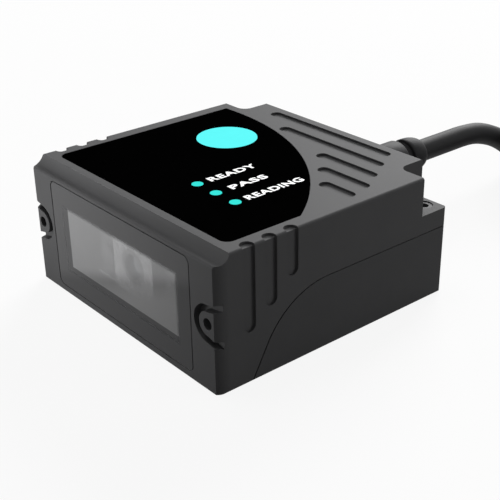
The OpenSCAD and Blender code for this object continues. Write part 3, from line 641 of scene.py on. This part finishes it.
def make_sleeve():
    """The plug's pressed sleeve, open at both ends, with two windows on each face."""
    low, high = (Vector(corner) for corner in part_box("plug_shell"))
    middle = (low + high) / 2
    shape = bmesh.new()
    place = Matrix.Translation(middle) @ Matrix.Diagonal((*(high - low), 1))
    bmesh.ops.create_cube(shape, size=1, matrix=place)
    long_edges = [e for e in shape.edges if abs(e.verts[0].co.x - e.verts[1].co.x) > SLEEVE_EDGE]
    rounded(shape, long_edges, SLEEVE_EDGE)
    across = [middle.y + side * y for side in (-1, 1) for y in HOLE_Y]
    cuts = [((low.x + x, 0, 0), (1, 0, 0)) for x in HOLE_X] + [((0, y, 0), (0, 1, 0)) for y in across]
    for at, square_to in cuts:
        every = shape.verts[:] + shape.edges[:] + shape.faces[:]
        bmesh.ops.bisect_plane(shape, geom=every, plane_co=at, plane_no=square_to)

    def is_open(face):
        at = face.calc_center_median()
        in_hole = HOLE_X[0] < at.x - low.x < HOLE_X[1] and HOLE_Y[0] < abs(at.y - middle.y) < HOLE_Y[1]
        return abs(face.normal.x) > SQUARE_ON or (in_hole and abs(face.normal.z) > SQUARE_ON)

    bmesh.ops.delete(shape, geom=[f for f in shape.faces if is_open(f)], context="FACES")
    sleeve = finished("plug_sleeve", to_mesh(shape, "plug_sleeve"), "plug_steel")
    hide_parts("plug_shell")
    return thicken(sleeve, SLEEVE_WALL, -1)


# Grip ribs on the plug's body: their places from the cable's end in millimetres, their size and their edges
RIB_X = [12.2, 14.6, 17, 19.4]
RIB_SIZE = (1.1 * MM, 9.6 * MM, 0.7 * MM)
RIB_EDGE = 0.3 * MM


def make_ribs():
    """Soft ribs across the top of the plug's body."""
    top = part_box("plug_body")[1][2]
    shape = bmesh.new()
    for x in RIB_X:
        at = Vector(((PLUG_AT[0] + x) * MM, PLUG_AT[1] * MM, top))
        place = Matrix.Translation(at) @ Matrix.Diagonal((*RIB_SIZE, 1))
        bmesh.ops.create_cube(shape, size=1, matrix=place)
    rounded(shape, shape.edges[:], RIB_EDGE)
    return finished("grip_ribs", to_mesh(shape, "grip_ribs"), "plug_plastic")


# Rings on the plug's boot, in millimetres: their places from the cable's end, their section along the cable
# and outwards, and the boot's radius at both ends and its length
RING_X = [1.6, 3.8, 6]
RING_PROFILE = [(-0.6, -0.4), (-0.35, 0.3), (0.35, 0.3), (0.6, -0.4)]
RING_STEPS = 32
BOOT_RADII = (3.35, 3.9)
BOOT_L = 9
# Points closer than this are one
MERGE_REACH = 0.001 * MM


def make_rings():
    """Raised rings on the boot of the plug, turned round the cable's axis."""
    shape = bmesh.new()
    axis = mm(*PLUG_AT)
    for x in RING_X:
        radius = BOOT_RADII[0] + (BOOT_RADII[1] - BOOT_RADII[0]) * x / BOOT_L
        ring = [shape.verts.new(axis + mm(x + along, 0, radius + out)) for along, out in RING_PROFILE]
        line = [shape.edges.new(pair) for pair in zip(ring, ring[1:] + ring[:1])]
        bmesh.ops.spin(
            shape, geom=ring + line, cent=axis, axis=(1, 0, 0), angle=2 * math.pi, steps=RING_STEPS,
            use_merge=True,
        )
    bmesh.ops.remove_doubles(shape, verts=shape.verts, dist=MERGE_REACH)
    bmesh.ops.recalc_face_normals(shape, faces=shape.faces)
    return finished("boot_rings", to_mesh(shape, "boot_rings"), "plug_plastic")


make_cable([
    nodes["strain_relief"], make_tie(), nodes["plug_body"], make_ribs(), make_rings(), make_sleeve(),
    nodes["plug_tongue"],
])

# Words beside the lit dots: capitals that read towards the rear, with their tops to the left. Each has its
# row, its start behind the window face and its length.
WORDS = {
    "READY": (3.7 * MM, 20.7 * MM, 12.2 * MM),
    "PASS": (9.7 * MM, 21.4 * MM, 9.4 * MM),
    "READING": (15.7 * MM, 20.5 * MM, 14.7 * MM),
}
WORD_HEIGHT = 2.1 * MM
WORD_RAISE = 0.02 * MM
WORD_BOLD = 0.035
WORD_SPACING = 1.12


def make_word(text, row, start, length):
    """A word in flat printed capitals on the film, stretched to its length."""
    name = "word_" + text.lower()
    letters = bpy.data.curves.new(name, "FONT")
    letters.body = text
    letters.offset = WORD_BOLD
    letters.space_character = WORD_SPACING
    source = bpy.data.objects.new("letters", letters)
    mesh = bpy.data.meshes.new_from_object(source)
    bpy.data.objects.remove(source)
    low = Vector([min(v.co[i] for v in mesh.vertices) for i in range(3)])
    high = Vector([max(v.co[i] for v in mesh.vertices) for i in range(3)])
    fit = Matrix.Diagonal((length / (high.x - low.x), WORD_HEIGHT / (high.y - low.y), 1, 1))
    window_face = cad_box[0][1]
    film_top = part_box("overlay_film")[1][2]
    foot = (row + WORD_HEIGHT / 2, window_face + start, film_top + WORD_RAISE)
    lay = Matrix.Translation(foot) @ Matrix.Rotation(math.pi / 2, 4, "Z")
    mesh.transform(lay @ fit @ Matrix.Translation(-low))
    finished(name, mesh, "film_black", "white_ink")


for text, (row, start, length) in WORDS.items():
    make_word(text, row, start, length)

# Soft edges: how wide they are on each piece, how sharp an edge has to be and in how many steps it turns
SOFT_EDGES = {
    "window_pane": 0.12 * MM,
    "plug_body": 0.6 * MM,
    "strain_relief": 0.3 * MM,
    "cover_screws": 0.15 * MM,
}
SHARP_ANGLE = math.radians(32)
SOFT_STEPS = 2
# Points closer and faces flatter than this are joined first
WELD_REACH = 0.002 * MM
FLAT_ANGLE = math.radians(0.4)


def soften(node, width):
    """Rounds the sharp edges of a moulded or turned piece."""
    piece = nodes[node]
    weld = piece.modifiers.new("weld", "WELD")
    weld.merge_threshold = WELD_REACH
    flat = piece.modifiers.new("flat", "DECIMATE")
    flat.decimate_type = "DISSOLVE"
    flat.angle_limit = FLAT_ANGLE
    bevel = piece.modifiers.new("bevel", "BEVEL")
    bevel.width = width
    bevel.segments = SOFT_STEPS
    bevel.limit_method = "ANGLE"
    bevel.angle_limit = SHARP_ANGLE
    bevel.profile = 0.5
    bevel.harden_normals = True


for node, width in SOFT_EDGES.items():
    soften(node, width)

# Light goes through the clear pane to the print on its back
pane = nodes["window_pane"]
pane.visible_shadow = False
pane.visible_diffuse = False
pane.visible_glossy = False

# Studio: a pale floor under a pale sky. Where they are seen they are close to white, and they light the
# object less than that.
WHITE = (1, 1, 1, 1)
# Floor: half its side in metres, the share of glow and the tone where it is seen, and its tone to other rays
FLOOR_HALF = 2.0
FLOOR_GLOW = 0.9
FLOOR_TONE = 0.8
FLOOR_BOUNCE = 0.22
# Sky: the strength of its light, and its strength where it is seen
SKY_LEVEL = 0.1
SKY_SEEN = 0.99
# Lamps: a far key behind on the left, a small low fill at the front left, a soft light from above and a weak
# one at the rear right. Each has its place, its aim and its size in metres, its power in watts and its spread
# in degrees.
LAMPS = {
    "key": ((-0.75, 1.32, 0.82), (0, 0, 0.02), (0.88, 0.66), 36, 180),
    "left": ((-0.075, -0.13, 0.024), (-0.024, -0.03, 0.031), (0.08, 0.03), 0.0172, 60),
    "top": ((-0.2, -0.08, 0.8), (0, 0, 0.02), (0.3, 0.3), 1.7, 180),
    "rear": ((0.5, 0.45, 0.25), (0.03, 0, 0.015), (0.3, 0.3), 1.0, 180),
}


def seen_directly(finish):
    """1 for rays that show the background itself, in a mirror or through glass too."""
    camera, glossy, through = (
        finish.node("ShaderNodeLightPath", output=name)
        for name in ("Is Camera Ray", "Is Glossy Ray", "Is Transmission Ray")
    )
    return finish.calc("MINIMUM", camera + glossy + through, 1.0)


def pale_floor():
    """The floor's material: nearly white with a soft shadow where it is seen, and darker to other rays."""
    finish = new_finish("pale_floor")
    seen = seen_directly(finish)
    tone = finish.mix(seen, (FLOOR_BOUNCE,) * 3, (FLOOR_TONE,) * 3)
    lit_floor = finish.node("ShaderNodeBsdfDiffuse", {}, {"Color": tone})
    glow = finish.node("ShaderNodeEmission", {}, {"Color": WHITE, "Strength": 1.0})
    both = finish.node("ShaderNodeMixShader", {}, {0: FLOOR_GLOW * seen, 1: lit_floor, 2: glow})
    finish.node("ShaderNodeOutputMaterial", {}, {"Surface": both})
    return finish.owner


def make_floor():
    """The floor, which isn't part of the object."""
    shape = bmesh.new()
    bmesh.ops.create_grid(shape, x_segments=1, y_segments=1, size=FLOOR_HALF)
    floor = bpy.data.objects.new("floor", to_mesh(shape, "floor"))
    floor.data.materials.append(pale_floor())
    scene.collection.objects.link(floor)


def make_lamp(name, at, aim, size, power, spread):
    """A softbox that stands at one point and faces another."""
    lamp = bpy.data.lights.new(name, "AREA")
    lamp.shape = "RECTANGLE"
    lamp.size, lamp.size_y = size
    lamp.energy = power
    lamp.spread = math.radians(spread)
    box = bpy.data.objects.new(name, lamp)
    box.matrix_world = facing(Vector(at), Vector(aim))
    scene.collection.objects.link(box)


def make_sky():
    """The world: a weak even light that looks nearly white."""
    world = bpy.data.worlds.new("studio")
    finish = Finish(world)
    level = SKY_LEVEL + (SKY_SEEN - SKY_LEVEL) * seen_directly(finish)
    glow = finish.node("ShaderNodeBackground", {}, {"Color": WHITE, "Strength": level})
    finish.node("ShaderNodeOutputWorld", {}, {"Surface": glow})
    scene.world = world


make_floor()
for name, lamp in LAMPS.items():
    make_lamp(name, *lamp)
make_sky()
scene.view_settings.view_transform = "Standard"
